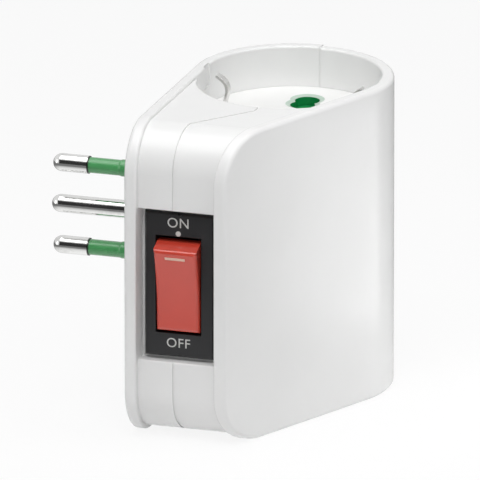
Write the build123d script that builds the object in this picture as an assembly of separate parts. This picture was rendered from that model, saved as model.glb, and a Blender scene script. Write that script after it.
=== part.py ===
from build123d import *
import os
from math import asin, atan2, cos, degrees, hypot, radians, sin, tan

# Plug-in adapter: a ten ampere Italian plug on the wall side, a recessed socket on the top and
# another underneath, and a rocker circuit breaker on one side. Millimetres. The origin is on the
# axis of the earth pin at the wall face. The pins point along -X, +Y runs from the switch side
# to the socket side, and +Z is up.

# Plug
pin_r = 2.0
pin_pitch = 9.5
pin_len = 19.2
earth_len = 19.5
bare_len = 8.4
core_r = 1.5
sleeve_r = 1.76
collar_r = 1.9
collar_len = 3.2
flare_len = 0.5
shank_r = 2.2
flange_r = 2.8
flange_t = 1.0
stub_r = 1.3
stub_len = 1.2
head_r = 2.1
head_t = 0.5

# Housing
wall = 2.8
mid_z = -14.6
half_height = 36.0
far_y = 43.5
outer_r = 22.5
face_y = -9.3
front_x = 23.6
rim_corner_r = 11.5
rim_edge_r = 1.0
rim_inner_r = 0.5
face_step = 2.0
roof_step = 0.8
body_corner_r = 9.7
face_t = 2.4
roof_t = 2.2
open_side = 20.0

# Parting line between the half shells
seam_x = 10.95
crease_x = 11.9
crease_y = 2.0
turn_y = 15.5
seam_w = 0.5
seam_depth = 0.35
rim_seam_w = 0.5
rim_seam_depth = 0.2
rim_seam_step = 0.3

# Socket recess
sock_y = 40.9
recess_flare = 0.3
recess_near = 18.6
floor_depth = 9.4
plate_t = 2.2
plate_gap = 0.08
ledge_w = 1.2
ledge_t = 1.6
well_t = 2.0
key_w = 0.7
key_t = 1.0
key_lift = 0.4
clip_slot_w = 3.6
clip_slot_deep = 0.5
clip_slot_foot = 4.1
clip_slot_shift = 1.6
recess_edge_r = 0.4

# Pin holes of the sockets
near_hole = 9.5
far_hole = 13.0
hole_r = 2.8
hole_bevel = 1.15
hole_lip = 0.35

# Shutters
frame_half = 7.0
frame_margin = 2.0
shutter_gap = 0.1
shutter_travel = 6.8
shutter_front = 4.4
shutter_back = 11.2
shutter_half = 16.4
window_w = 6.0
window_l = 9.2
earth_slot_w = 5.8
rail_w = 1.0
rail_l = 17.6
spring_r = 0.75
spring_wire = 0.25
spring_turns = 5
spring_room = 8.2
stop_t = 0.9
stop_w = 2.0

# Contacts
carrier_t = 1.8
carrier_gap = 0.2
strap_w = 4.4
clip_w = 2.1
strap_ring = 1.6
metal_t = 0.8
clip_in = 15.1
clip_t = 0.6
clip_lean = 1.0
clip_lean_z = 4.3
clip_bend_z = 4.5
clip_bend_r = 3.1
clip_bend_angle = 56.0
clip_tip_len = 1.2
leaf_t = 0.7
leaf_gap = 4.2
leaf_l = 7.5
leaf_h = 14.5
chamber_t = 1.0
chamber_gap = 0.3
tulip_gap = 5.0
tulip_l = 5.0
bus_w = 5.0

# Breaker
switch_x = 11.6
bezel_x = 11.85
bezel_w = 16.2
bezel_h = 33.4
bezel_t = 1.6
bezel_sink = 1.6
bezel_gap = 0.8
bezel_edge = 0.5
pocket_edge_r = 0.4
pocket_ledge = 1.2
opening_w = 10.6
opening_h = 22.6
case_w = 12.4
case_h = 27.6
case_depth = 19.6
case_t = 0.9
rocker_w = 10.0
rocker_pivot_y = 0.5
rocker_swing = 15.0
rocker_face = 8.0
rocker_dish = 0.7
rocker_half = 9.6
rocker_shoulder = 4.6
rocker_shoulder_z = 10.6
rocker_back = 2.6
rocker_hub_r = 2.4
rocker_edge_r = 0.8
pivot_r = 0.8
pivot_gap = 0.05
nose_len = 6.0
nose_r = 0.8
nose_neck = 0.5
nose_w = 3.0
mark_w = 4.6
mark_h = 0.6
mark_t = 0.3
mark_proud = 0.1
mark_z = 7.9
arm_y = 10.3
arm_limb = 9.0
arm_w = 3.4
arm_t = 1.2
arm_hub_r = 1.4
arm_pin_r = 0.6
fork_gap = 0.2
fork_t = 0.8
pad_r = 1.4
pad_t = 0.5
contact_gap = 0.15
tab_t = 0.8
tab_w = 4.0
tab_out = 5.5
bimetal_t = 0.5
bimetal_w = 3.0

# Screws
screw_r = 1.5
screw_clear = 0.2
screw_head_r = 2.7
screw_head_h = 2.0
screw_sink = 8.0
screw_len = 16.0
pillar_r = 3.9
near_screw_y = 11.0
near_screw_z = 30.6
far_screw_y = 58.5
far_pillar_r = 3.2
far_screw_sink = 9.0
driver_w = 2.4
driver_deep = 1.0

# Heights and places worked out from the values above
sock_x = outer_r
rim_top = mid_z + half_height
rim_low = mid_z - half_height
roof_z = rim_top - roof_step
base_z = rim_low + roof_step
floor_z = rim_top - floor_depth
plate_low = floor_z - plate_t
inner_r = outer_r - wall
recess_r = inner_r + recess_flare
near_y = recess_near + recess_r
body_y = face_y + face_step
bezel_y = body_y + bezel_sink
bezel_back = bezel_y + bezel_t
case_back = bezel_back + case_depth
carrier_top = plate_low - 2 * shutter_gap - (plate_t - 2 * shutter_gap)
carrier_low = carrier_top - carrier_t
strap_low = carrier_low - metal_t
far_span = hypot(sock_x - front_x, far_y - face_y)
front_angle = degrees(atan2(sock_x - front_x, far_y - face_y) + asin(outer_r / far_span))
big = 200.0
holes = [(-1, near_hole), (-1, far_hole), (1, near_hole), (1, far_hole)]
clip_out = clip_in + clip_t


def block(x0, x1, y0, y1, z0, z1):
    """A box between two corners."""
    centre = ((x0 + x1) / 2, (y0 + y1) / 2, (z0 + z1) / 2)
    return Pos(*centre) * Box(x1 - x0, y1 - y0, z1 - z0)


def rod_x(x0, x1, y, z, r):
    """A round bar along X."""
    return Pos((x0 + x1) / 2, y, z) * Rot(0, 90, 0) * Cylinder(r, x1 - x0)


def rod_z(x, y, z0, z1, r):
    """A round bar along Z."""
    return Pos(x, y, (z0 + z1) / 2) * Cylinder(r, z1 - z0)


def raise_plan(plan, z0, z1):
    """A plan outline made solid between two heights."""
    return extrude(Pos(0, 0, z0) * plan, amount=z1 - z0, dir=(0, 0, 1))


def flip(shape):
    """The same piece for the lower socket."""
    return mirror(shape, about=Plane.XY.offset(mid_z))


def housing_plan(inset):
    """Outline seen from above, moved inwards, and open past the switch side when inset."""
    r = outer_r - inset
    lean = radians(front_angle)
    touch = (sock_x + r * cos(lean), far_y - r * sin(lean))
    y_low = face_y if inset == 0 else face_y - open_side
    corner = (touch[0] - (touch[1] - y_low) * tan(lean), y_low)
    middle = radians((180 - front_angle) / 2)
    top = (sock_x + r * cos(middle), far_y + r * sin(middle))
    edges = [
        Line((sock_x - r, y_low), (sock_x - r, far_y)),
        ThreePointArc((sock_x - r, far_y), top, touch),
        Line(touch, corner),
        Line(corner, (sock_x - r, y_low)),
    ]
    return make_face(Curve() + edges)


def side_block(y_face, z_low, z_top, r):
    """A long block whose two edges on the switch side are rounded."""
    body = block(-big / 4, big / 2, y_face, big, z_low, z_top)
    rounded = body.edges().filter_by(Axis.X).sort_by(Axis.Y)[:2]
    return fillet(rounded, r)


def recess_plan(grow):
    """Outline of the socket recess: a half circle on the near side, and the wall's own curve beyond."""
    r = recess_r + grow
    beyond = Pos(sock_x, near_y + big / 2) * Rectangle(2 * r, big)
    return (Pos(sock_x, near_y) * Circle(r) + beyond) & housing_plan(wall - grow)


def parting_side(rear):
    """The space on one side of the parting surface."""
    x_far = -big / 4 if rear else big / 2
    corners = [
        (seam_x, -big / 4),
        (seam_x, body_y),
        (crease_x, crease_y),
        (sock_x, turn_y),
        (sock_x, big / 2),
        (x_far, big / 2),
        (x_far, -big / 4),
    ]
    plan = make_face(Polyline(*corners, close=True))
    return raise_plan(plan, -big / 2, big / 2)


def body_groove():
    """The shallow line cut where the half shells meet on the body."""
    half = seam_w / 2
    line = [
        (seam_x, -big / 4),
        (seam_x, body_y),
        (crease_x, crease_y),
        (sock_x, turn_y),
        (sock_x, near_y),
    ]
    left = [(x - half, y) for x, y in line]
    right = [(x + half, y) for x, y in line]
    ribbon = raise_plan(make_face(Polyline(*left, *reversed(right), close=True)), -big / 2, big / 2)
    core = side_block(
        body_y + seam_depth, base_z + seam_depth, roof_z - seam_depth, body_corner_r - seam_depth
    )
    return ribbon - core


def rim_groove():
    """The same line down both faces of the far wall."""
    half = rim_seam_w / 2
    depth = rim_seam_depth
    far_in = far_y + inner_r
    far_out = far_y + outer_r
    inside = block(sock_x - half, sock_x + half, far_in - 1, far_in + depth, -big, big)
    outside = block(sock_x - half, sock_x + half, far_out - depth, far_out + 1, -big, big)
    return inside + outside


def screw_places():
    """Y, Z, head depth and pillar radius of each screw."""
    return [
        (near_screw_y, mid_z + near_screw_z, screw_sink, pillar_r),
        (near_screw_y, mid_z - near_screw_z, screw_sink, pillar_r),
        (far_screw_y, mid_z, far_screw_sink, far_pillar_r),
    ]


def screw_head_x(y, sink):
    """Where the back of a screw head lies, counted from the rear wall at that place."""
    if y <= far_y:
        return sink
    return sock_x - (outer_r**2 - (y - far_y) ** 2) ** 0.5 + sink


def pin_places():
    """Name, height and length of each plug pin."""
    return [("live", pin_pitch, pin_len), ("earth", 0.0, earth_len), ("neutral", -pin_pitch, pin_len)]


def socket_well():
    """Solid room kept for the upper recess: its wall and the ledge below its floor plate."""
    return raise_plan(recess_plan(well_t), plate_low - ledge_t, big / 2)


def recess_cut():
    """The upper recess and the opening below its floor plate."""
    loose = Pos(sock_x, near_y) * Circle(recess_r) + Pos(sock_x, near_y + big / 2) * Rectangle(big, big)
    recess = raise_plan(loose, plate_low, big / 2)
    return recess + raise_plan(recess_plan(-ledge_w), plate_low - ledge_t - 1, plate_low)


def recess_details():
    """The groove that holds the floor plate, and the slots behind the earth clips."""
    key = raise_plan(recess_plan(key_w), plate_low + key_lift, plate_low + key_lift + key_t)
    x_out = inner_r + clip_slot_deep
    y_half = clip_slot_w / 2
    y = sock_y + clip_slot_shift
    slot_low = floor_z + clip_slot_foot
    slots = block(sock_x - x_out, sock_x + x_out, y - y_half, y + y_half, slot_low, big / 2)
    return key + slots


def window_cut():
    """The pocket for the bezel and the opening for the breaker's case."""
    window_half = bezel_h / 2 + bezel_gap
    case_half = case_w / 2
    pocket = block(0, big / 4, face_y - open_side, bezel_back, mid_z - window_half, mid_z + window_half)
    return pocket + block(
        switch_x - case_half, switch_x + case_half, body_y, bezel_back + pocket_ledge + 1,
        mid_z - case_h / 2, mid_z + case_h / 2
    )


def rim_ring(drop):
    """The walls that stand round both recesses and the switch, with the top lowered by a small drop."""
    outer = raise_plan(housing_plan(0), rim_low, rim_top - drop)
    outer &= side_block(face_y, rim_low, rim_top - drop, rim_corner_r)
    sharp = outer.edges().filter_by(
        lambda e: e.center().Y < face_y + 0.1 or abs((e @ 1 - e @ 0).Z) < half_height
    )
    outer = fillet(sharp - outer.edges().filter_by(Axis.X), rim_edge_r)
    inside = raise_plan(housing_plan(wall), -big / 2, big / 2)
    ring = outer - inside
    inner_edges = new_edges(outer, inside, combined=ring)
    inner_edges = inner_edges.filter_by(
        lambda e: e.center().Y < face_y + rim_edge_r + 0.1 or abs((e @ 1 - e @ 0).Z) < half_height
    )
    return fillet(inner_edges, rim_inner_r)


def body_shape():
    """The body between the rims: faces, recess walls, window and screw pillars."""
    inside = raise_plan(housing_plan(wall), -big / 2, big / 2)
    body = inside & side_block(body_y, base_z, roof_z, body_corner_r)
    cavity = inside & side_block(
        body_y + face_t, base_z + roof_t, roof_z - roof_t, body_corner_r - face_t
    )
    window_half = bezel_h / 2 + bezel_gap
    pocket_back = bezel_back + pocket_ledge
    cavity -= socket_well() + flip(socket_well())
    cavity -= block(
        0, big / 2, body_y, pocket_back, mid_z - window_half - face_t, mid_z + window_half + face_t
    )
    for y, z, sink, r in screw_places():
        cavity -= rod_x(0, big / 2, y, z, r)
    body -= cavity
    body -= recess_cut()
    body -= flip(recess_cut())
    lips = body.edges().filter_by(GeomType.CIRCLE).filter_by(
        lambda e: abs(abs(e.center().Z - mid_z) - roof_z + mid_z) < 0.01
    )
    body = fillet(lips, recess_edge_r)
    body -= window_cut()
    ledges = body.edges().filter_by(Axis.X).filter_by(lambda e: abs(e.center().Y - body_y) < 0.01)
    body = fillet(ledges, pocket_edge_r)
    return body - body_groove()


def housing(drop):
    """Both half shells in one solid, before they are parted."""
    shell = rim_ring(drop) + body_shape()
    shell -= recess_details()
    shell -= flip(recess_details())
    shell -= rim_groove()
    for name, z, length in pin_places():
        shell -= rod_x(-1, wall, 0, z, shank_r)
    return shell


def rear_shell():
    piece = housing(0) & parting_side(True)
    for y, z, sink, r in screw_places():
        head_x = screw_head_x(y, sink)
        piece -= rod_x(-5, head_x + screw_head_h, y, z, screw_head_r + screw_clear)
        piece -= rod_x(head_x, sock_x, y, z, screw_r + screw_clear)
    return piece


def front_shell():
    piece = housing(rim_seam_step) & parting_side(False)
    for y, z, sink, r in screw_places():
        tip = screw_head_x(y, sink) + screw_head_h + screw_len
        piece -= rod_x(0, tip, y, z, screw_r)
    return piece


def shell_screws():
    screws = []
    for y, z, sink, r in screw_places():
        x = screw_head_x(y, sink)
        head = rod_x(x, x + screw_head_h, y, z, screw_head_r)
        slot = block(x - 1, x + driver_deep, y - driver_w, y + driver_w, z - 0.35, z + 0.35)
        slot += block(x - 1, x + driver_deep, y - 0.35, y + 0.35, z - driver_w, z + driver_w)
        shaft = rod_x(x + screw_head_h, x + screw_head_h + screw_len, y, z, screw_r)
        screws.append((head - slot) + shaft)
    return Compound(children=screws)


def plug_pin(z, length, sleeved):
    """A turned pin with a round tip, a shank in the wall and a riveted stub inside."""
    tip_x = -length
    neck_x = tip_x + bare_len if sleeved else 0
    tip = Pos(tip_x + pin_r, 0, z) * Sphere(pin_r)
    bare = rod_x(tip_x + pin_r, neck_x, 0, z, pin_r)
    pin = tip + bare
    if sleeved:
        pin += rod_x(neck_x, 0, 0, z, core_r)
    pin += rod_x(0, wall, 0, z, shank_r)
    pin += rod_x(wall, wall + flange_t, 0, z, flange_r)
    pin += rod_x(wall + flange_t, wall + flange_t + stub_len, 0, z, stub_r)
    head_x = wall + flange_t + metal_t
    return pin + rod_x(head_x, head_x + head_t, 0, z, head_r)


def pin_sleeve(z):
    """The green insulating sleeve with its thicker end at the wall."""
    flare_x = -collar_len - flare_len / 2
    tube = rod_x(bare_len - pin_len, 0, 0, z, sleeve_r) + rod_x(-collar_len, 0, 0, z, collar_r)
    tube += Pos(flare_x, 0, z) * Rot(0, 90, 0) * Cone(sleeve_r, collar_r, flare_len)
    return tube - rod_x(-pin_len, 1, 0, z, core_r)


def socket_plate():
    """Floor of the upper recess with its bevelled double holes and the earth hole."""
    plate = raise_plan(recess_plan(-plate_gap), plate_low, floor_z)
    key_low = plate_low + key_lift
    plate += raise_plan(recess_plan(key_w - plate_gap), key_low, key_low + key_t)
    for side, away in holes:
        y = sock_y + side * away
        plate -= rod_z(sock_x, y, plate_low, floor_z, hole_r)
        cone = Pos(sock_x, y, floor_z - hole_lip / 2) * Cone(hole_r, hole_r + hole_bevel, hole_lip)
        plate -= cone
    plate -= rod_z(sock_x, sock_y, plate_low, floor_z, hole_r)
    slot_half = clip_t / 2 + carrier_gap
    for side in (-1, 1):
        x = sock_x + side * (clip_in + clip_t / 2)
        y_half = clip_w / 2 + carrier_gap
        plate -= block(x - slot_half, x + slot_half, sock_y - y_half, sock_y + y_half, plate_low, floor_z)
    return plate - frame_block(plate_gap)


def frame_block(grow):
    """Room of the shutter frame, let into the underside of the floor plate."""
    x_half = frame_half + grow
    y_half = far_hole + hole_r + frame_margin + grow
    return block(
        sock_x - x_half, sock_x + x_half, sock_y - y_half, sock_y + y_half, plate_low, floor_z - hole_lip
    )


def shutter_frame():
    """Green guide under the thin lip of the floor plate, with the same round holes."""
    frame = frame_block(0)
    for side, away in holes:
        frame -= rod_z(sock_x, sock_y + side * away, plate_low, floor_z, hole_r)
    return frame - rod_z(sock_x, sock_y, plate_low, floor_z, hole_r)


def shutter():
    """Green shield that slides aside under the floor plate when both pins press its ramps."""
    low = carrier_top + shutter_gap
    high = plate_low - shutter_gap
    back = sock_x - shutter_back
    front = sock_x + shutter_front
    shield = block(back, front, sock_y - shutter_half, sock_y + shutter_half, low, high)
    middle = (near_hole + far_hole) / 2
    for side in (-1, 1):
        y = sock_y + side * middle
        x = sock_x - shutter_travel
        shield -= block(x - window_w / 2, x + window_w / 2, y - window_l / 2, y + window_l / 2, low, high)
    slot_back = sock_x - shutter_travel - earth_slot_w / 2
    slot_half = earth_slot_w / 2
    return shield - block(slot_back, sock_x + slot_half, sock_y - slot_half, sock_y + slot_half, low, high)


def shutter_spring():
    """Coil spring between the shutter and its stop."""
    z = (carrier_top + plate_low) / 2
    path_r = spring_r - spring_wire / 2
    length = spring_room - 2 * spring_wire
    coil = Helix(length / spring_turns, length, path_r)
    start = coil @ 0
    profile = Plane(origin=start, z_dir=coil % 0) * Circle(spring_wire / 2)
    wire = sweep(profile, path=coil)
    x = sock_x + shutter_front + spring_wire
    return Pos(x, sock_y, z) * Rot(0, 90, 0) * wire


def contact_chamber(y, length, inner, low):
    """A square insulating tube that hangs round one contact."""
    x_half = inner / 2 + chamber_gap
    y_half = length / 2 + chamber_gap
    t = chamber_t
    outside = block(
        sock_x - x_half - t, sock_x + x_half + t, y - y_half - t, y + y_half + t, low, carrier_low
    )
    return outside - block(sock_x - x_half, sock_x + x_half, y - y_half, y + y_half, low, carrier_low)


def contact_carrier():
    """Insulator under the shutter: pin guides, shutter rails and spring stop above, chambers below."""
    carrier = raise_plan(recess_plan(-ledge_w - carrier_gap), carrier_low, carrier_top)
    middle = (near_hole + far_hole) / 2
    for side in (-1, 1):
        y = sock_y + side * (shutter_half + carrier_gap + rail_w / 2)
        carrier += block(
            sock_x - rail_l / 2, sock_x + rail_l / 2, y - rail_w / 2, y + rail_w / 2,
            carrier_top, plate_low
        )
        carrier += contact_chamber(
            sock_y + side * middle, leaf_l, leaf_gap + 2 * leaf_t, carrier_low - leaf_h + metal_t
        )
    stop_x = sock_x + shutter_front + spring_room
    carrier += block(
        stop_x, stop_x + stop_t, sock_y - stop_w / 2, sock_y + stop_w / 2, carrier_top, plate_low
    )
    for side, away in holes:
        carrier -= rod_z(sock_x, sock_y + side * away, carrier_low, carrier_top, hole_r)
    carrier -= rod_z(sock_x, sock_y, carrier_low, carrier_top, hole_r)
    slot_half = clip_t / 2 + carrier_gap
    for side in (-1, 1):
        x = sock_x + side * (clip_in + clip_t / 2)
        y_half = clip_w / 2 + carrier_gap
        carrier -= block(
            x - slot_half, x + slot_half, sock_y - y_half, sock_y + y_half, carrier_low, carrier_top
        )
    return carrier


def clip_outline(side):
    """Middle line of one sprung end of the earth strap, in X and Z."""
    def at(out, z):
        return (sock_x + side * out, floor_z + z)
    middle = clip_in + clip_t / 2
    inner = middle - clip_lean
    turn = inner + clip_bend_r
    half = radians(clip_bend_angle / 2)
    over = (turn - clip_bend_r * cos(half), clip_bend_z + clip_bend_r * sin(half))
    slope = radians(clip_bend_angle)
    end = (turn - clip_bend_r * cos(slope), clip_bend_z + clip_bend_r * sin(slope))
    tip = (end[0] + clip_tip_len * sin(slope), end[1] + clip_tip_len * cos(slope))
    return [
        Line(at(middle, strap_low - floor_z), at(middle, 0)),
        Line(at(middle, 0), at(inner, clip_lean_z)),
        Line(at(inner, clip_lean_z), at(inner, clip_bend_z)),
        ThreePointArc(at(inner, clip_bend_z), at(*over), at(*end)),
        Line(at(*end), at(*tip)),
    ]


def earth_strap():
    """Strip under the carrier whose two ends stand up in the recess as sprung clips."""
    strap = block(
        sock_x - clip_out, sock_x + clip_out, sock_y - strap_w / 2, sock_y + strap_w / 2,
        strap_low, carrier_low
    )
    strap += rod_z(sock_x, sock_y, strap_low, carrier_low, hole_r + strap_ring)
    strap -= rod_z(sock_x, sock_y, strap_low, carrier_low, hole_r)
    for side in (-1, 1):
        face = make_face(offset(Wire(clip_outline(side)), amount=clip_t / 2, side=Side.BOTH).edges())
        solid = extrude(Plane.XZ * face, amount=clip_w, dir=(0, -1, 0))
        strap += Pos(0, sock_y + clip_w / 2, 0) * solid
    return strap


def pin_contact(side):
    """Two sprung leaves on a base, open to the pins at the near and far spacing."""
    y = sock_y + side * (near_hole + far_hole) / 2
    low = carrier_low - leaf_h
    half = leaf_gap / 2
    y0 = y - leaf_l / 2
    y1 = y + leaf_l / 2
    contact = block(sock_x - half - leaf_t, sock_x + half + leaf_t, y0, y1, low, low + metal_t)
    for way in (-1, 1):
        x0 = sock_x + way * half
        x1 = sock_x + way * (half + leaf_t)
        contact += block(min(x0, x1), max(x0, x1), y0, y1, low, carrier_low - 0.3)
    return contact


def earth_tulip():
    """Sprung fork under the strap that grips the central earth pin."""
    low = carrier_low - leaf_h
    half = tulip_gap / 2
    y0 = sock_y - tulip_l / 2
    y1 = sock_y + tulip_l / 2
    fork = block(sock_x - half - leaf_t, sock_x + half + leaf_t, y0, y1, low, low + metal_t)
    for way in (-1, 1):
        x0 = sock_x + way * half
        x1 = sock_x + way * (half + leaf_t)
        fork += block(min(x0, x1), max(x0, x1), y0, y1, low, strap_low)
    return fork


def busbar_post(y, half_w):
    """Upright strip between the bases of an upper and a lower contact."""
    low = carrier_low - leaf_h
    return block(sock_x - half_w, sock_x + half_w, y - metal_t / 2, y + metal_t / 2, 2 * mid_z - low, low)


def pin_strip(z, y_end):
    """Strip riveted on a plug pin's stub, running along the rear wall."""
    x0 = wall + flange_t
    strip = block(x0, x0 + metal_t, -head_r, y_end, z - head_r, z + head_r)
    return strip - rod_x(x0, x0 + metal_t, 0, z, stub_r)


def terminal_z(side):
    """Middle height of a breaker terminal."""
    return mid_z + side * (case_h / 2 - case_t - tab_w / 2 - 0.6)


def live_lead():
    """From the live pin over the breaker and down to its line terminal."""
    x0 = wall + flange_t
    y_turn = recess_near - well_t - 0.2
    z_high = pin_pitch + head_r
    lead = pin_strip(pin_pitch, y_turn)
    tab_x = switch_x - tab_t / 2
    lead += block(x0, tab_x, y_turn - metal_t, y_turn, pin_pitch - head_r, z_high)
    low = terminal_z(1) - tab_w / 2
    x1 = tab_x - metal_t
    y_low = case_back + 0.3
    web_high = strap_low
    lead += block(x1, tab_x, y_turn - tab_w, y_turn, web_high - tab_w, z_high)
    lead += block(x1, tab_x, y_turn - tab_w, y_low + tab_w, web_high - tab_w, web_high)
    return lead + block(x1, tab_x, y_low, y_low + tab_w, low, web_high)


def live_busbar():
    """From the breaker's load terminal to the far contacts."""
    y = sock_y + (near_hole + far_hole) / 2
    tab_x = switch_x - tab_t / 2
    y0 = case_back + 1
    z_low = terminal_z(-1) - tab_w / 2
    z_high = mid_z - 1.5
    bar = block(tab_x - metal_t, tab_x, y0, y0 + tab_w, z_low, z_high)
    bar += block(tab_x - metal_t, tab_x, y0, y + metal_t / 2, z_high - tab_w, z_high)
    bar += block(tab_x - metal_t, sock_x, y - metal_t / 2, y + metal_t / 2, z_high - tab_w, z_high)
    return bar + busbar_post(y, bus_w / 2)


def neutral_busbar():
    """From the neutral pin along the rear wall to the near contacts."""
    y = sock_y - (near_hole + far_hole) / 2
    x0 = wall + flange_t
    z = -pin_pitch
    bar = pin_strip(z, y + metal_t / 2)
    low = carrier_low - leaf_h
    bar += block(x0, x0 + metal_t, y - tab_w, y + metal_t / 2, low - tab_w, z + head_r)
    bar += block(x0, sock_x, y - metal_t / 2, y + metal_t / 2, low - tab_w, low)
    return bar + busbar_post(y, bus_w / 2)


def earth_busbar():
    """From the earth pin along the rear wall to both earth forks."""
    x0 = wall + flange_t
    bar = pin_strip(0, sock_y + metal_t / 2)
    low = carrier_low - leaf_h
    turn = block(x0, x0 + metal_t, sock_y - tab_w, sock_y + metal_t / 2, low - tab_w, head_r)
    bar += turn
    bar += block(x0, sock_x, sock_y - metal_t / 2, sock_y + metal_t / 2, low - tab_w, low)
    return bar + busbar_post(sock_y, bus_w / 2)


def switch_bezel():
    """Frame round the rocker, with small notches in the middle of its ends."""
    frame = block(
        bezel_x - bezel_w / 2, bezel_x + bezel_w / 2, bezel_y, bezel_back,
        mid_z - bezel_h / 2, mid_z + bezel_h / 2
    )
    frame = chamfer(frame.faces().sort_by(Axis.Y)[0].edges(), bezel_edge)
    frame -= block(
        switch_x - opening_w / 2, switch_x + opening_w / 2, bezel_y, bezel_back,
        mid_z - opening_h / 2, mid_z + opening_h / 2
    )
    for way in (-1, 1):
        notch = Pos(bezel_x, bezel_y, mid_z + way * bezel_h / 2) * Rot(90, 0, 0) * Cylinder(0.7, 1.2)
        frame -= notch
    return frame


def switch_case():
    """Open-fronted case of the breaker, with slots for the terminals and holes for the pins."""
    x0 = switch_x - case_w / 2
    x1 = switch_x + case_w / 2
    z0 = mid_z - case_h / 2
    z1 = mid_z + case_h / 2
    t = case_t
    case = block(x0, x1, bezel_back, case_back, z0, z1)
    case -= block(x0 + t, x1 - t, bezel_back, case_back - t, z0 + t, z1 - t)
    case -= rod_x(x0, x1, rocker_pivot_y, mid_z, pivot_r)
    case -= rod_x(x0, x1, arm_y, mid_z, arm_pin_r)
    for side in (-1, 1):
        z = terminal_z(side)
        half = tab_t / 2
        case -= block(
            switch_x - half, switch_x + half, case_back - t, case_back, z - tab_w / 2, z + tab_w / 2
        )
    return case


def tilt_x(shape, y, angle):
    """Turned about an axis along X at the breaker's middle height."""
    return Pos(0, y, mid_z) * Rot(angle, 0, 0) * shape


def rocker_profile():
    """Side view of the rocker round its pivot, in Y and Z, before it is tilted."""
    f = -rocker_face
    h = rocker_half
    edges = [
        ThreePointArc((f, -h), (f + rocker_dish, 0), (f, h)),
        Line((f, h), (-rocker_shoulder, rocker_shoulder_z)),
        Line((-rocker_shoulder, rocker_shoulder_z), (-rocker_back, rocker_shoulder_z)),
        Line((-rocker_back, rocker_shoulder_z), (-rocker_back, -rocker_shoulder_z)),
        Line((-rocker_back, -rocker_shoulder_z), (-rocker_shoulder, -rocker_shoulder_z)),
        Line((-rocker_shoulder, -rocker_shoulder_z), (f, -h)),
    ]
    return make_face(Curve() + edges)


def mark_block(grow):
    """Pale dash let into the rocker's face near its upper end."""
    bow = (rocker_half**2 + rocker_dish**2) / (2 * rocker_dish)
    depth = (bow**2 - mark_z**2) ** 0.5 - (bow - rocker_dish)
    y = -rocker_face + rocker_dish - (rocker_dish - depth)
    return block(
        switch_x - mark_w / 2, switch_x + mark_w / 2, y - grow, y + mark_t,
        mark_z - mark_h / 2, mark_z + mark_h / 2
    )


def rocker_body():
    """Rocker before it is tilted, with its hub, pivot hole and nose."""
    body = extrude(Plane.YZ * rocker_profile(), amount=rocker_w)
    body = Pos(switch_x - rocker_w / 2, 0, 0) * body
    face_edges = body.edges().filter_by(lambda e: e.center().Y < -rocker_face + rocker_dish + 0.05)
    body = fillet(face_edges, rocker_edge_r)
    hub_x = rocker_w / 2 - 0.4
    body += rod_x(switch_x - hub_x, switch_x + hub_x, 0, 0, rocker_hub_r)
    body += block(switch_x - hub_x, switch_x + hub_x, -rocker_back, 0, -rocker_hub_r, rocker_hub_r)
    body += block(
        switch_x - nose_w / 2, switch_x + nose_w / 2, 0, nose_len, -nose_neck, nose_neck
    )
    body += rod_x(switch_x - nose_w / 2, switch_x + nose_w / 2, nose_len, 0, nose_r)
    return body - rod_x(0, 2 * switch_x, 0, 0, pivot_r + pivot_gap)


def rocker():
    return tilt_x(rocker_body() - mark_block(1), rocker_pivot_y, rocker_swing / 2)


def rocker_mark():
    dash = mark_block(1) & (Pos(0, -mark_proud, 0) * rocker_body())
    return tilt_x(dash, rocker_pivot_y, rocker_swing / 2)


def arm_rest_angle():
    """Tilt of the contact arm while the rocker is off."""
    half = radians(rocker_swing / 2)
    reach = arm_y - rocker_pivot_y
    return degrees(atan2(nose_len * sin(half), reach - nose_len * cos(half)))


def contact_arm():
    """Lever with a fork round the rocker's nose and a contact pad on its lower limb."""
    x0 = switch_x - arm_w / 2
    x1 = switch_x + arm_w / 2
    reach = arm_y - rocker_pivot_y - nose_len
    inner = nose_r + fork_gap
    arm = rod_x(x0, x1, 0, 0, arm_hub_r)
    for way in (-1, 1):
        z0 = way * inner
        z1 = way * (inner + fork_t)
        arm += block(x0, x1, -reach - 0.6, -arm_hub_r, min(z0, z1), max(z0, z1))
    arm += block(x0, x1, -arm_hub_r - 0.8, -arm_hub_r + 0.7, -inner - fork_t, inner + fork_t)
    arm += block(x0, x1, -arm_t / 2, arm_t / 2, -arm_limb - pad_r, 0)
    pad = Pos(switch_x, arm_t / 2 + pad_t / 2, -arm_limb) * Rot(90, 0, 0) * Cylinder(pad_r, pad_t)
    arm += pad
    arm -= rod_x(0, 2 * switch_x, 0, 0, arm_pin_r + pivot_gap)
    return tilt_x(arm, arm_y, -arm_rest_angle())


def terminal(side):
    """Flat tab through the back of the case."""
    z = terminal_z(side)
    inner = case_back - case_t
    return block(
        switch_x - tab_t / 2, switch_x + tab_t / 2, inner, case_back + tab_out,
        z - tab_w / 2, z + tab_w / 2
    )


def fixed_contact():
    """Pad on a foot that stands on the load terminal, where the arm's pad closes."""
    swing = radians(arm_rest_angle())
    closed_y = arm_y + arm_limb * sin(swing) + (arm_t / 2 + pad_t) * cos(swing)
    closed_z = mid_z - arm_limb * cos(swing) + (arm_t / 2 + pad_t) * sin(swing)
    y0 = closed_y + pad_r * sin(swing) + contact_gap
    face = Pos(switch_x, (y0 + y0 + pad_t) / 2, closed_z) * Rot(90, 0, 0) * Cylinder(pad_r, pad_t)
    inner = case_back - case_t
    foot = block(
        switch_x - arm_w / 2, switch_x + arm_w / 2, y0 + pad_t, inner,
        closed_z - pad_r - 0.4, closed_z + pad_r + 0.4
    )
    return face + foot


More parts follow.
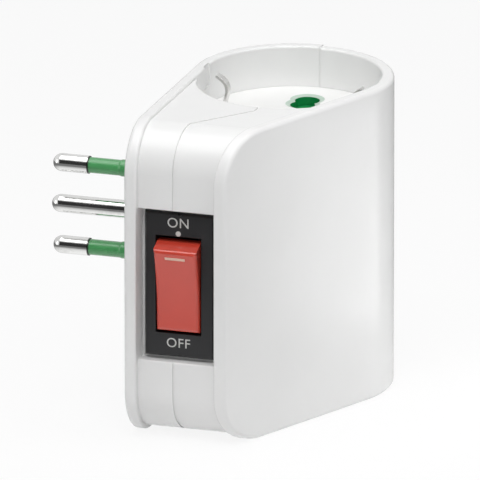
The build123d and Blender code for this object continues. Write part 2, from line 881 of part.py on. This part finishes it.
def bimetal_strip():
    """Strip that bends away when it is overheated, fixed beside the line terminal."""
    inner = case_back - case_t
    z1 = terminal_z(1) + tab_w / 2
    strip = block(
        switch_x - bimetal_w / 2, switch_x + bimetal_w / 2, inner - metal_t - bimetal_t,
        inner - metal_t, mid_z + 2.5, z1
    )
    foot = block(
        switch_x - bimetal_w / 2, switch_x + bimetal_w / 2, inner - metal_t, inner, z1 - tab_w, z1
    )
    return strip + foot


def write(name, shape):
    shape.label = name
    export_step(shape, "parts/" + name + ".step")


def main():
    os.makedirs("parts", exist_ok=True)
    write("rear_shell", rear_shell())
    write("front_shell", front_shell())
    write("shell_screws", shell_screws())
    for name, z, length in pin_places():
        write("plug_pin_" + name, plug_pin(z, length, name != "earth"))
        if name != "earth":
            write("pin_sleeve_" + name, pin_sleeve(z))
    for level, place in (("top", lambda shape: shape), ("bottom", flip)):
        write("socket_plate_" + level, place(socket_plate()))
        write("shutter_frame_" + level, place(shutter_frame()))
        write("shutter_" + level, place(shutter()))
        write("shutter_spring_" + level, place(shutter_spring()))
        write("contact_carrier_" + level, place(contact_carrier()))
        write("earth_strap_" + level, place(earth_strap()))
        write("earth_fork_" + level, place(earth_tulip()))
        write("live_contact_" + level, place(pin_contact(1)))
        write("neutral_contact_" + level, place(pin_contact(-1)))
    write("live_lead", live_lead())
    write("live_busbar", live_busbar())
    write("neutral_busbar", neutral_busbar())
    write("earth_busbar", earth_busbar())
    write("switch_bezel", switch_bezel())
    write("switch_case", switch_case())
    write("rocker", rocker())
    write("rocker_mark", rocker_mark())
    case_half = case_w / 2
    pivot = rod_x(switch_x - case_half, switch_x + case_half, rocker_pivot_y, mid_z, pivot_r)
    write("rocker_pin", pivot)
    arm_pin = rod_x(switch_x - case_half, switch_x + case_half, arm_y, mid_z, arm_pin_r)
    write("arm_pin", arm_pin)
    write("contact_arm", contact_arm())
    write("line_terminal", terminal(1))
    write("load_terminal", terminal(-1))
    write("fixed_contact", fixed_contact())
    write("bimetal_strip", bimetal_strip())


main()
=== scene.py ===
from math import cos, pi, radians, sin

import bpy
from mathutils import Euler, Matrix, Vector


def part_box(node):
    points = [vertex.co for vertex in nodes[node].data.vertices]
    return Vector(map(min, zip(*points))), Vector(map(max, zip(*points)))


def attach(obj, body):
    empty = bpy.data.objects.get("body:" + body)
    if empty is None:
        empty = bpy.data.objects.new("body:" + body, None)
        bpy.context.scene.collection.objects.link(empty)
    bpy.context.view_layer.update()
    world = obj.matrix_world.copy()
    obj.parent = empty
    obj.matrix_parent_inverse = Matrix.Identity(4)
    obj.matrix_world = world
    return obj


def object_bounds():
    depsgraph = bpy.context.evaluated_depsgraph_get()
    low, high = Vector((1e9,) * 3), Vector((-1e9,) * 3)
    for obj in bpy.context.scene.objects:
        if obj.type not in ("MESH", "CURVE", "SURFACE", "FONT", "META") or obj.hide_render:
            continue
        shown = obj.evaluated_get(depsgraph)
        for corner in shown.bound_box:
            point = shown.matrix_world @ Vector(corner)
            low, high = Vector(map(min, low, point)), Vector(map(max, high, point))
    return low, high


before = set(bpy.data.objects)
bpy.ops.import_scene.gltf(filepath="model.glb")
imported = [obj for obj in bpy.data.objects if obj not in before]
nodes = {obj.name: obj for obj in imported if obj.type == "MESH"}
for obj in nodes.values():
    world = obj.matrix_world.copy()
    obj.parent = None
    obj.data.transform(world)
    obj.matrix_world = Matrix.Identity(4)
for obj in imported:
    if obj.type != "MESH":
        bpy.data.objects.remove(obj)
cad_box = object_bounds()

MM = 0.001

# Camera, worked out from the pins and the housing's edges in the photograph
view_azimuth = 17.85
view_elevation = 17.57
view_distance = 4.794
view_lens = 1618.8
view_target = Vector((15.66, 26.13, -13.25)) * MM
sensor_width = 36.0
view_reach = 50.0

# Floor, as the light and the camera see it, and as bright metal mirrors it
floor_gap = 0.02 * MM
floor_half = 3.0
floor_white = 0.9
floor_mottle = 0.995
floor_scale = 3.0
floor_rough = 0.6
floor_glow = 0.88
table_edge = (0.055, 0.14)
table_dark = 0.2

# Sky, and the dark upright card that bright metal mirrors, in parts of the sky's unit sphere
sky_colour = (0.97, 0.98, 1.0, 1.0)
sky_strength = 0.16
mirror_white = 1.0
card_x = -0.292
card_half = 0.17
card_side_fade = 1.3
card_front = (-0.15, -0.1)
card_top = 0.66
card_top_fade = 0.06
card_dark = 0.04

# Soft boxes: name, azimuth, elevation, distance, size and power
soft_boxes = (
    ("top_box", -10.0, 80.0, 0.7, (0.6, 0.6), 2.65),
    ("front_box", 10.0, 52.0, 0.7, (0.45, 0.4), 1.6),
    ("fill_box", -62.0, 12.0, 0.8, (0.35, 0.5), 0.49),
    ("right_box", 85.0, 48.0, 0.3, (0.15, 0.15), 0.19),
    ("side_box", 112.0, -8.0, 0.085, (0.04, 0.05), 0.0105),
)

# Plastics: patterns in cells per metre
plastic_ior = 1.49
mottle_scale = 60.0
sheen_scale = 220.0
sheen_spread = 0.12
grain_scale = 5200.0
relief_depth = 0.01 * MM
bevel_samples = 6

# Metals
line_scale = 900.0
line_relief = 0.06
polish_low = 0.7
polish_high = 1.5
stain_scale = 260.0
stain_dark = 0.82
nickel = (0.86, 0.86, 0.85)
pin_rough = 0.1
pin_stretch = (0.15, 1.0, 1.0)
pin_edge = 0.05 * MM

# Ink
ink_scale = 3000.0
ink_thin = 0.86
ink_rough = 0.55
ink_relief = 0.1
ink_depth = 0.005 * MM

# Dark bands: joint lines on the pins and sleeves, and painted shade along the bezel's top and right
# edges; half width and strength
joint_and_shade_colour = (0.03, 0.03, 0.03, 1.0)
joint_and_shade_fade = 2.0
pin_line = (0.14 * MM, 0.9)
sleeve_line = (0.1 * MM, 0.8)
bezel_edge_painted_shade = (0.3 * MM, 0.95)

# Painted green-tinted shade on the rims of the pin holes, standing in for the shutter's green light and
# shade
rim_start = 0.005 * MM
rim_fade = 0.05 * MM
rim_share = 1.0
painted_rim_shade_colour = (0.46, 0.57, 0.49, 1.0)

# Words on the bezel, placed from its middle
word_x = 11.6 * MM
word_t = 0.04 * MM
cap_share = 0.72
word_spacing = 1.08
word_steps = 6
on_up = 14.3 * MM
on_h = 2.3 * MM
off_down = 13.5 * MM
off_h = 2.2 * MM
dot_up = 11.95 * MM
dot_r = 0.6 * MM
dot_sides = 40


def new_material(name):
    """An empty node material with its output and a Principled shader."""
    material = bpy.data.materials.new(name)
    material.use_nodes = True
    tree = material.node_tree
    tree.nodes.clear()
    output = tree.nodes.new("ShaderNodeOutputMaterial")
    shader = tree.nodes.new("ShaderNodeBsdfPrincipled")
    tree.links.new(shader.outputs["BSDF"], output.inputs["Surface"])
    return material, tree, shader


def coordinates(tree, kind):
    """The split axes of one kind of texture coordinate."""
    coord = tree.nodes.new("ShaderNodeTexCoord")
    split = tree.nodes.new("ShaderNodeSeparateXYZ")
    tree.links.new(coord.outputs[kind], split.inputs["Vector"])
    return split.outputs


def noise(tree, scale, detail=3.0, roughness=0.5, stretch=(1.0, 1.0, 1.0)):
    """Noise in the part's own coordinates, in cells per metre."""
    coord = tree.nodes.new("ShaderNodeTexCoord")
    mapping = tree.nodes.new("ShaderNodeMapping")
    mapping.inputs["Scale"].default_value = stretch
    texture = tree.nodes.new("ShaderNodeTexNoise")
    texture.inputs["Scale"].default_value = scale
    texture.inputs["Detail"].default_value = detail
    texture.inputs["Roughness"].default_value = roughness
    tree.links.new(coord.outputs["Object"], mapping.inputs["Vector"])
    tree.links.new(mapping.outputs["Vector"], texture.inputs["Vector"])
    return texture


def ramp(tree, source, stops):
    """A colour ramp from one socket. stops are (place, grey or colour)."""
    node = tree.nodes.new("ShaderNodeValToRGB")
    elements = node.color_ramp.elements
    while len(elements) < len(stops):
        elements.new(0.5)
    for element, (place, colour) in zip(elements, stops):
        element.position = place
        if isinstance(colour, float):
            colour = (colour, colour, colour)
        element.color = (*colour, 1.0)
    tree.links.new(source, node.inputs["Fac"])
    return node


def bump(tree, shader, height, strength, distance):
    """Fine relief in the shading. Gives back its node."""
    node = tree.nodes.new("ShaderNodeBump")
    node.inputs["Strength"].default_value = strength
    node.inputs["Distance"].default_value = distance
    tree.links.new(height, node.inputs["Height"])
    tree.links.new(node.outputs["Normal"], shader.inputs["Normal"])
    return node


def soft_edges(tree, bump_node, radius):
    """Rounds the shading of sharp edges, as moulded or stamped edges are."""
    bevel = tree.nodes.new("ShaderNodeBevel")
    bevel.samples = bevel_samples
    bevel.inputs["Radius"].default_value = radius
    tree.links.new(bevel.outputs["Normal"], bump_node.inputs["Normal"])


def map_range(tree, source, limits, results):
    """A clamped straight-line map of one socket."""
    node = tree.nodes.new("ShaderNodeMapRange")
    for name, value in zip(("From Min", "From Max", "To Min", "To Max"), (*limits, *results)):
        node.inputs[name].default_value = value
    tree.links.new(source, node.inputs["Value"])
    return node.outputs["Result"]


def maths(tree, operation, first, second):
    """One maths step of two sockets, or a socket and a number."""
    node = tree.nodes.new("ShaderNodeMath")
    node.operation = operation
    for place, value in enumerate((first, second)):
        if isinstance(value, float):
            node.inputs[place].default_value = value
        else:
            tree.links.new(value, node.inputs[place])
    return node.outputs[0]


def mix_shaders(tree, share, first, second):
    """The second shader's share over the first."""
    node = tree.nodes.new("ShaderNodeMixShader")
    for place, source in enumerate((share, first, second)):
        tree.links.new(source, node.inputs[place])
    return node.outputs[0]


def blend_base(tree, share, colour, kind):
    """Blends one colour into the base colour that the shader has."""
    shader = next(n for n in tree.nodes if n.type == "BSDF_PRINCIPLED")
    mix = tree.nodes.new("ShaderNodeMix")
    mix.data_type = "RGBA"
    mix.blend_type = kind
    mix.inputs["B"].default_value = colour
    tree.links.new(share, mix.inputs["Factor"])
    tree.links.new(shader.inputs["Base Color"].links[0].from_socket, mix.inputs["A"])
    tree.links.new(mix.outputs["Result"], shader.inputs["Base Color"])


def moulded_plastic(name, colour, rough, grain, edge, coat=0.0, mottle=0.02, coat_rough=0.08):
    """Moulded plastic: fine spark-eroded grain, a faint flow mottle and a little sheen variation."""
    material, tree, shader = new_material(name)
    shader.inputs["IOR"].default_value = plastic_ior
    shader.inputs["Coat Weight"].default_value = coat
    shader.inputs["Coat Roughness"].default_value = coat_rough
    mottled = noise(tree, mottle_scale, 4.0)
    dark = tuple(c * (1.0 - mottle) for c in colour)
    tint = ramp(tree, mottled.outputs["Fac"], [(0.3, dark), (0.7, colour)])
    tree.links.new(tint.outputs["Color"], shader.inputs["Base Color"])
    sheen = noise(tree, sheen_scale, 5.0)
    least = rough * (1.0 - sheen_spread)
    most = rough * (1.0 + sheen_spread)
    gloss = ramp(tree, sheen.outputs["Fac"], [(0.25, least), (0.75, most)])
    tree.links.new(gloss.outputs["Color"], shader.inputs["Roughness"])
    fine = noise(tree, grain_scale, 2.0)
    relief = bump(tree, shader, fine.outputs["Fac"], grain, relief_depth)
    if edge > 0.0:
        soft_edges(tree, relief, edge)
    return material


def plated_metal(name, colour, rough, stretch, edge):
    """Plated or rolled metal with fine lines, a few darker specks and uneven polish."""
    material, tree, shader = new_material(name)
    shader.inputs["Metallic"].default_value = 1.0
    lines = noise(tree, line_scale, 4.0, 0.6, stretch)
    polish = ramp(tree, lines.outputs["Fac"], [(0.3, rough * polish_low), (0.75, rough * polish_high)])
    tree.links.new(polish.outputs["Color"], shader.inputs["Roughness"])
    stains = noise(tree, stain_scale, 6.0, 0.65)
    dark = tuple(c * stain_dark for c in colour)
    tint = ramp(tree, stains.outputs["Fac"], [(0.28, dark), (0.5, colour)])
    tree.links.new(tint.outputs["Color"], shader.inputs["Base Color"])
    relief = bump(tree, shader, lines.outputs["Fac"], line_relief, relief_depth)
    soft_edges(tree, relief, edge)
    return material


def darken_band(material, axis, centre, band_size):
    """A dark band across one axis, such as the joint line where a sleeve ends on a pin; on the bezel it
    is painted shade along the top and right edges.
    """
    tree = material.node_tree
    half, strength = band_size
    away = maths(tree, "SUBTRACT", coordinates(tree, "Object")[axis], centre)
    away = maths(tree, "ABSOLUTE", away, 0.0)
    share = map_range(tree, away, (half, half * joint_and_shade_fade), (strength, 0.0))
    blend_base(tree, share, joint_and_shade_colour, "MULTIPLY")


def paint_shade_on_hole_rims(material):
    """Painted shade: the sloping rims of the pin holes are tinted grey-green, standing in for the green
    light and shade that the shutter under the thin plate gives them.
    """
    tree = material.node_tree
    top_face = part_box("socket_plate_top")[1].z
    bottom_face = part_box("socket_plate_bottom")[0].z
    height = coordinates(tree, "Object")["Z"]
    under_top = map_range(tree, height, (top_face - rim_fade, top_face - rim_start), (rim_share, 0.0))
    over_bottom = map_range(tree, height, (bottom_face + rim_start, bottom_face + rim_fade), (0.0, 1.0))
    blend_base(tree, maths(tree, "MULTIPLY", under_top, over_bottom), painted_rim_shade_colour, "MIX")


def printed_ink(name, colour):
    """Pad-printed ink: nearly even, with slight thin spots."""
    material, tree, shader = new_material(name)
    spots = noise(tree, ink_scale, 3.0)
    thin = tuple(c * ink_thin for c in colour)
    tint = ramp(tree, spots.outputs["Fac"], [(0.35, thin), (0.6, colour)])
    tree.links.new(tint.outputs["Color"], shader.inputs["Base Color"])
    shader.inputs["Roughness"].default_value = ink_rough
    bump(tree, shader, spots.outputs["Fac"], ink_relief, ink_depth)
    return material


def dress(names, material):
    """Gives CAD nodes a material in every slot."""
    for name in names:
        for slot in nodes[name].material_slots:
            slot.material = material


def materials_for_the_housing():
    white = moulded_plastic("housing_plastic", (0.85, 0.85, 0.845), 0.22, 0.12, 0.0)
    dress(["rear_shell", "front_shell"], white)
    insert = moulded_plastic("insert_plastic", (0.84, 0.84, 0.83), 0.38, 0.15, 0.0)
    # Painted green-tinted shade on the rims of the pin holes
    paint_shade_on_hole_rims(insert)
    dress(["socket_plate_top", "socket_plate_bottom"], insert)
    carrier = moulded_plastic("carrier_plastic", (0.84, 0.84, 0.83), 0.38, 0.15, 0.0)
    dress(["contact_carrier_top", "contact_carrier_bottom"], carrier)
    shutter = moulded_plastic("shutter_plastic", (0.004, 0.23, 0.06), 0.35, 0.15, 0.08 * MM)
    dress(["shutter_top", "shutter_bottom", "shutter_frame_top", "shutter_frame_bottom"], shutter)


def materials_for_the_plug():
    pin = plated_metal("pin_nickel", nickel, pin_rough, pin_stretch, pin_edge)
    dress(["plug_pin_earth"], pin)
    bare = plated_metal("sleeved_pin_nickel", nickel, pin_rough, pin_stretch, pin_edge)
    joint_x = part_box("pin_sleeve_live")[0].x
    darken_band(bare, "X", joint_x, pin_line)
    dress(["plug_pin_live", "plug_pin_neutral"], bare)
    sleeve = moulded_plastic("sleeve_plastic", (0.065, 0.31, 0.1), 0.3, 0.2, 0.06 * MM, 0.7, 0.02, 0.2)
    darken_band(sleeve, "X", joint_x, sleeve_line)
    dress(["pin_sleeve_live", "pin_sleeve_neutral"], sleeve)


def materials_for_the_contacts():
    clip = plated_metal("clip_nickel", (0.72, 0.715, 0.70), 0.14, (1.0, 0.2, 1.0), 0.1 * MM)
    dress(["earth_strap_top", "earth_strap_bottom"], clip)
    brass = plated_metal("contact_brass", (0.78, 0.58, 0.28), 0.28, (1.0, 0.3, 1.0), 0.08 * MM)
    dress(["earth_fork_top", "earth_fork_bottom", "contact_arm", "fixed_contact"], brass)
    for side in ("live", "neutral"):
        for level in ("top", "bottom"):
            dress([side + "_contact_" + level], brass)
    dress(["live_lead", "live_busbar", "neutral_busbar", "earth_busbar"], brass)
    dress(["line_terminal", "load_terminal"], brass)
    steel = plated_metal("zinc_steel", (0.62, 0.62, 0.63), 0.3, (1.0, 1.0, 0.3), 0.06 * MM)
    dress(["shell_screws", "rocker_pin", "arm_pin", "bimetal_strip"], steel)
    dress(["shutter_spring_top", "shutter_spring_bottom"], steel)


def materials_for_the_switch():
    black = moulded_plastic("bezel_plastic", (0.022, 0.022, 0.024), 0.36, 0.3, 0.12 * MM, 0.0, 0.15)
    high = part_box("switch_bezel")[1]
    # Painted shade: the bezel's top and right edges are darkened as the window pocket's gap shades them
    darken_band(black, "Z", high.z, bezel_edge_painted_shade)
    darken_band(black, "X", high.x, bezel_edge_painted_shade)
    dress(["switch_bezel", "switch_case"], black)
    red = moulded_plastic("rocker_plastic", (0.66, 0.062, 0.036), 0.2, 0.12, 0.2 * MM, 1.0, 0.06)
    dress(["rocker"], red)
    dress(["rocker_mark"], printed_ink("mark_ink", (0.86, 0.58, 0.46)))


def word(text, x, z_middle, height, ink):
    """A printed word on the bezel, set up the right way for someone facing the switch."""
    face_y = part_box("switch_bezel")[0].y
    curve = bpy.data.curves.new("word_" + text.lower(), "FONT")
    curve.body = text
    curve.align_x = "CENTER"
    curve.align_y = "CENTER"
    curve.size = height / cap_share
    curve.space_character = word_spacing
    curve.extrude = word_t / 2
    curve.resolution_u = word_steps
    piece = bpy.data.objects.new("word_" + text.lower(), curve)
    bpy.context.scene.collection.objects.link(piece)
    piece.location = (x, face_y - word_t / 2, z_middle)
    piece.rotation_euler = Euler((pi / 2, 0.0, 0.0))
    curve.materials.append(ink)
    bpy.context.view_layer.update()
    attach(piece, "housing")


def dot(x, z, r, ink):
    """The printed dot that marks the upper position."""
    face_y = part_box("switch_bezel")[0].y
    sides = dot_sides
    ring = [(x + r * cos(2 * pi * i / sides), z + r * sin(2 * pi * i / sides)) for i in range(sides)]
    back = [(px, face_y, pz) for px, pz in ring]
    front = [(px, face_y - word_t, pz) for px, pz in ring]
    faces = [tuple(range(sides)), tuple(reversed(range(sides, 2 * sides)))]
    for i in range(sides):
        j = (i + 1) % sides
        faces.append((j, i, i + sides, j + sides))
    mesh = bpy.data.meshes.new("position_dot")
    mesh.from_pydata(back + front, [], faces)
    mesh.materials.append(ink)
    piece = bpy.data.objects.new("position_dot", mesh)
    bpy.context.scene.collection.objects.link(piece)
    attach(piece, "housing")


def print_the_bezel():
    """The two words and the dot, in one ink."""
    ink = printed_ink("word_ink", (0.62, 0.62, 0.60))
    low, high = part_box("switch_bezel")
    middle = (low.z + high.z) / 2
    word("ON", word_x, middle + on_up, on_h, ink)
    word("OFF", word_x, middle - off_down, off_h, ink)
    dot(word_x, middle + dot_up, dot_r, ink)


def floor_and_backdrop():
    """A pale floor that shows as white and still keeps the part's soft shadow."""
    material, tree, shader = new_material("studio_white")
    shader.inputs["Roughness"].default_value = floor_rough
    soft = noise(tree, floor_scale, 2.0)
    tint = ramp(tree, soft.outputs["Fac"], [(0.3, floor_white * floor_mottle), (0.7, floor_white)])
    tree.links.new(tint.outputs["Color"], shader.inputs["Base Color"])
    glow = tree.nodes.new("ShaderNodeEmission")
    glow.inputs["Strength"].default_value = 1.0
    path = tree.nodes.new("ShaderNodeLightPath")
    share = maths(tree, "MULTIPLY", path.outputs["Is Camera Ray"], floor_glow)
    lit = mix_shaders(tree, share, shader.outputs["BSDF"], glow.outputs["Emission"])
    coord = tree.nodes.new("ShaderNodeTexCoord")
    away = tree.nodes.new("ShaderNodeVectorMath")
    away.operation = "LENGTH"
    tree.links.new(coord.outputs["Object"], away.inputs[0])
    mirrored = map_range(tree, away.outputs["Value"], table_edge, (mirror_white, table_dark))
    mirror = tree.nodes.new("ShaderNodeEmission")
    tree.links.new(mirrored, mirror.inputs["Strength"])
    look = mix_shaders(tree, path.outputs["Is Glossy Ray"], lit, mirror.outputs["Emission"])
    output = next(n for n in tree.nodes if n.type == "OUTPUT_MATERIAL")
    tree.links.new(look, output.inputs["Surface"])
    mesh = bpy.data.meshes.new("floor")
    z = cad_box[0][2] - floor_gap
    half = floor_half
    corners = [(-half, -half, z), (half, -half, z), (half, half, z), (-half, half, z)]
    mesh.from_pydata(corners, [], [(0, 1, 2, 3)])
    mesh.materials.append(material)
    plane = bpy.data.objects.new("floor", mesh)
    bpy.context.scene.collection.objects.link(plane)


def dark_card(tree):
    """1 where the sky holds the dark upright card that bright metal mirrors, 0 elsewhere."""
    way = coordinates(tree, "Generated")
    across = maths(tree, "SUBTRACT", way["X"], card_x)
    across = maths(tree, "ABSOLUTE", across, 0.0)
    wide = map_range(tree, across, (card_half, card_half * card_side_fade), (1.0, 0.0))
    ahead = map_range(tree, way["Y"], card_front, (1.0, 0.0))
    top = map_range(tree, way["Z"], (card_top, card_top + card_top_fade), (1.0, 0.0))
    return maths(tree, "MULTIPLY", maths(tree, "MULTIPLY", wide, ahead), top)


def world_light():
    """An even pale sky: white to the camera and in reflections, softer on the part."""
    world = bpy.data.worlds.new("studio")
    bpy.context.scene.world = world
    world.use_nodes = True
    tree = world.node_tree
    tree.nodes.clear()
    output = tree.nodes.new("ShaderNodeOutputWorld")
    path = tree.nodes.new("ShaderNodeLightPath")
    seen = maths(tree, "MAXIMUM", path.outputs["Is Camera Ray"], path.outputs["Is Transmission Ray"])
    mirrored = map_range(tree, dark_card(tree), (0.0, 1.0), (mirror_white, card_dark))
    mirror = tree.nodes.new("ShaderNodeBackground")
    tree.links.new(mirrored, mirror.inputs["Strength"])
    dim = tree.nodes.new("ShaderNodeBackground")
    dim.inputs["Color"].default_value = sky_colour
    dim.inputs["Strength"].default_value = sky_strength
    white = tree.nodes.new("ShaderNodeBackground")
    white.inputs["Color"].default_value = (1.0, 1.0, 1.0, 1.0)
    white.inputs["Strength"].default_value = 1.0
    lit = mix_shaders(tree, path.outputs["Is Glossy Ray"], dim.outputs[0], mirror.outputs[0])
    tree.links.new(mix_shaders(tree, seen, lit, white.outputs[0]), output.inputs["Surface"])


def stand_and_face(piece, azimuth, elevation, distance):
    """Puts a lamp or camera round the target, facing it. Azimuth 0 is on -Y and 90 on +X."""
    a = radians(azimuth)
    e = radians(elevation)
    way = Vector((sin(a) * cos(e), -cos(a) * cos(e), sin(e)))
    piece.location = view_target + way * distance
    piece.rotation_euler = (-way).to_track_quat("-Z", "Y").to_euler()
    bpy.context.scene.collection.objects.link(piece)


def area_lamp(name, azimuth, elevation, distance, size, power):
    """A soft box that faces the part and stays out of the picture."""
    lamp = bpy.data.lights.new(name, "AREA")
    lamp.shape = "RECTANGLE"
    lamp.size = size[0]
    lamp.size_y = size[1]
    lamp.energy = power
    piece = bpy.data.objects.new(name, lamp)
    piece.visible_camera = False
    stand_and_face(piece, azimuth, elevation, distance)


def camera():
    """The photograph's view."""
    data = bpy.data.cameras.new("camera")
    data.lens = view_lens
    data.sensor_width = sensor_width
    data.clip_end = view_reach
    piece = bpy.data.objects.new("camera", data)
    stand_and_face(piece, view_azimuth, view_elevation, view_distance)
    bpy.context.scene.camera = piece


materials_for_the_housing()
materials_for_the_plug()
materials_for_the_contacts()
materials_for_the_switch()
print_the_bezel()
floor_and_backdrop()
world_light()
for soft_box in soft_boxes:
    area_lamp(*soft_box)
camera()
bpy.context.scene.view_settings.view_transform = "Standard"
